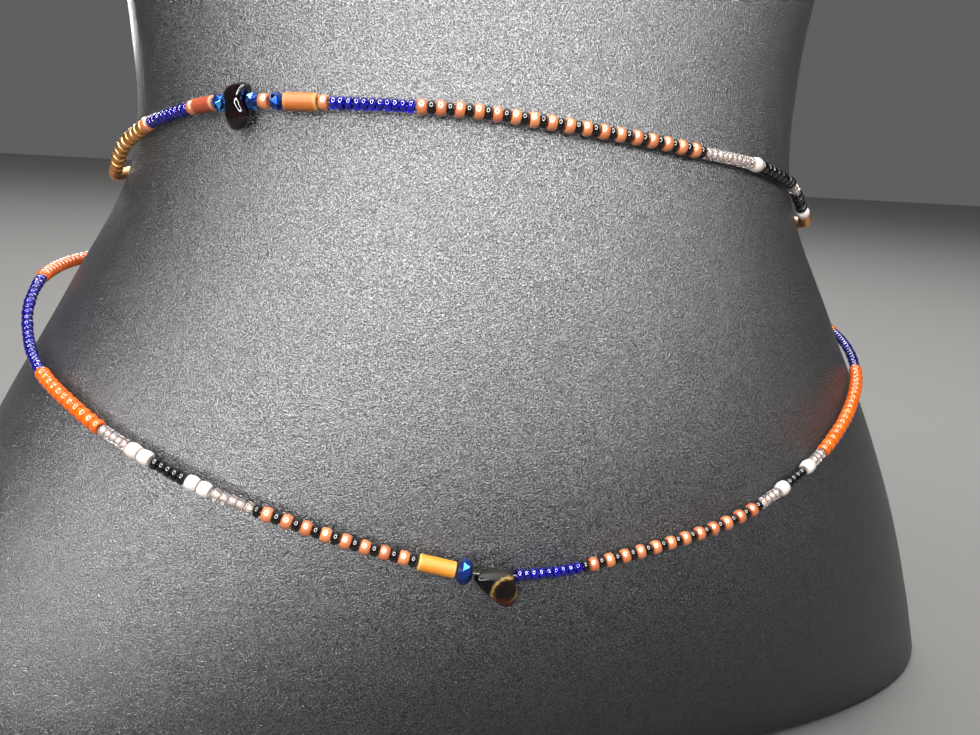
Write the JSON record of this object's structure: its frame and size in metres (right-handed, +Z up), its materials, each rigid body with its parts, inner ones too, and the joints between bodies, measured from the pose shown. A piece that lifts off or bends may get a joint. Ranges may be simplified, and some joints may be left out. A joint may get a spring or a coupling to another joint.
{
  "type": "waist beads on a limbless torso display form",
  "caption": "Two closed strands of coloured glass seed beads, tube beads, faceted beads and stone chips, worn on a black limbless torso display form that stands on its flat base.",
  "frame": {"origin": "centre of the bounding box, on the plane of the flat base underneath", "axes": "+Z up along the torso from base to neck, -Y towards the front of the torso, +X towards the left hip of the form"},
  "size_m": [0.4156, 0.2282, 0.615],
  "materials": {
    "form_plastic": "black moulded plastic with a fine pebbled grain",
    "gold_metallic": "metallic gold coating on glass seed beads",
    "peach_lustre": "copper-pearl lustre on glass seed beads",
    "orange_glass": "opaque orange glass seed beads",
    "white_pearl": "pearly opaque white glass beads",
    "black_glass": "glossy jet glass seed beads",
    "blue_glass": "transparent cobalt glass seed beads",
    "clear_glass": "clear glass seed beads with a silvery lining",
    "tube_orange": "dyed yellow-orange tube beads",
    "tube_brown": "dyed red-brown tube bead",
    "faceted_glass": "faceted glass with a metallic blue coating",
    "stone_chip": "tumbled and polished smoky dark stone"
  },
  "bodies": {
    "root": {"form": "form_plastic", "lower_black_a": "black_glass", "lower_black_b": "black_glass", "lower_black_first": "black_glass", "lower_black_second": "black_glass", "lower_blue_a": "blue_glass", "lower_blue_b": "blue_glass", "lower_blue_c": "blue_glass", "lower_chip": "stone_chip", "lower_clear_a": "clear_glass", "lower_clear_b": "clear_glass", "lower_clear_c": "clear_glass", "lower_clear_d": "clear_glass", "lower_facet_a": "faceted_glass", "lower_orange_a": "orange_glass", "lower_orange_b": "orange_glass", "lower_orange_back_a": "orange_glass", "lower_orange_back_b": "orange_glass", "lower_orange_back_c": "orange_glass", "lower_orange_back_d": "orange_glass", "lower_peach_black_a": "peach_lustre", "lower_peach_black_b": "peach_lustre", "lower_tube_orange": "tube_orange", "lower_white_a": "white_pearl", "lower_white_b": "white_pearl", "lower_white_c": "white_pearl", "lower_white_d": "white_pearl", "upper_black_a": "black_glass", "upper_black_b": "black_glass", "upper_blue_a": "blue_glass", "upper_blue_b": "blue_glass", "upper_chip": "stone_chip", "upper_clear_a": "clear_glass", "upper_clear_b": "clear_glass", "upper_facet_a": "faceted_glass", "upper_facet_b": "faceted_glass", "upper_facet_c": "faceted_glass", "upper_gold_back_a": "gold_metallic", "upper_gold_back_b": "gold_metallic", "upper_gold_back_c": "gold_metallic", "upper_gold_back_d": "gold_metallic", "upper_gold_side": "gold_metallic", "upper_peach_a": "peach_lustre", "upper_peach_b": "peach_lustre", "upper_peach_black": "peach_lustre", "upper_peach_c": "peach_lustre", "upper_peach_d": "peach_lustre", "upper_tube_brown": "tube_brown", "upper_tube_orange": "tube_orange", "upper_white_a": "white_pearl", "upper_white_b": "white_pearl"}
  },
  "joints": []
}
